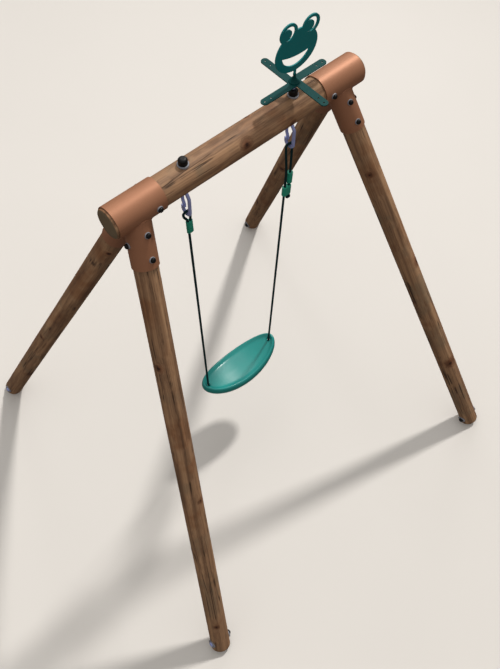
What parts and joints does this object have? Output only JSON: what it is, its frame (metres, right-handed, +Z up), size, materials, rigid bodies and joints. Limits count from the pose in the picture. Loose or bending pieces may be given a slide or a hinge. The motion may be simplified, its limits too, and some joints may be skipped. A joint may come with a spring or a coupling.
{
  "type": "rope swing on a timber frame",
  "caption": "Round-timber A-frame with steel corner brackets, a single oval seat on two ropes hung from closed hooks, and a sheet-metal animal-face ornament.",
  "frame": {"origin": "on the ground, under the middle of the top beam", "axes": "+X along the top beam, +Y the way the seat swings, +Z up"},
  "size_m": [1.8444, 1.8466, 2.4315],
  "materials": {
    "timber": "oiled, knotty round timber",
    "bracket_paint": "satin copper brown",
    "zinc": "bright zinc plating",
    "black_plastic": "satin black",
    "pale_plastic": "satin pale grey",
    "ornament_paint": "satin dark teal",
    "rope": "braided, very dark green",
    "green_plastic": "satin green",
    "seat_plastic": "soft gloss teal"
  },
  "bodies": {
    "frame": {"top_beam": "timber", "leg_front_left": "timber", "leg_front_right": "timber", "leg_back_left": "timber", "leg_back_right": "timber", "beam_sleeve_left": "bracket_paint", "beam_sleeve_right": "bracket_paint", "leg_sleeve_front_left": "bracket_paint", "leg_sleeve_front_right": "bracket_paint", "leg_sleeve_back_left": "bracket_paint", "leg_sleeve_back_right": "bracket_paint", "hook_left": "zinc", "hook_right": "zinc", "gate_pins": "zinc", "hook_saddles": "zinc", "hook_washers": "zinc", "hook_nuts": "zinc", "bracket_screws": "zinc", "anchor_bolts": "zinc", "anchor_nuts": "zinc", "ornament_nut": "zinc", "screw_caps": "black_plastic", "bolt_cap_left": "black_plastic", "bolt_cap_right": "black_plastic", "anchor_caps": "black_plastic", "screw_cap_bases": "pale_plastic", "bolt_cap_bases": "pale_plastic", "anchor_bases": "pale_plastic", "ornament_head": "ornament_paint", "ornament_collar": "ornament_paint", "limb_right": "ornament_paint", "limb_back": "ornament_paint", "limb_left": "ornament_paint", "limb_front": "ornament_paint"},
    "swing": {"rope_left": "rope", "rope_right": "rope", "ferrule_left": "green_plastic", "keeper_right": "green_plastic", "adjuster_right": "green_plastic", "seat_knot_left": "rope", "seat_knot_right": "rope", "tail_knot_right": "rope"},
    "seat": {"seat": "seat_plastic"},
    "gate_left": {"gate_left": "zinc"},
    "gate_right": {"gate_right": "zinc"}
  },
  "joints": [
    {"name": "swing_hinge", "type": "hinge", "parent": "frame", "child": "swing", "pos_m": [0, 0, 1.8735], "axis": [1, 0, 0], "range_deg": [-60, 60]},
    {"name": "seat_pitch", "type": "hinge", "parent": "swing", "child": "seat", "pos_m": [0, 0, 0.46327], "axis": [1, 0, 0], "range_deg": [-20, 20]},
    {"name": "gate_left_hinge", "type": "hinge", "parent": "frame", "child": "gate_left", "pos_m": [-0.246, 0.0105, 1.9665], "axis": [-1, 0, 0], "range_deg": [0, 12], "stiffness_Nm_per_rad": 0.06, "springref_deg": -20.05},
    {"name": "gate_right_hinge", "type": "hinge", "parent": "frame", "child": "gate_right", "pos_m": [0.246, 0.0105, 1.9665], "axis": [-1, 0, 0], "range_deg": [0, 12], "stiffness_Nm_per_rad": 0.06, "springref_deg": -20.05}
  ]
}
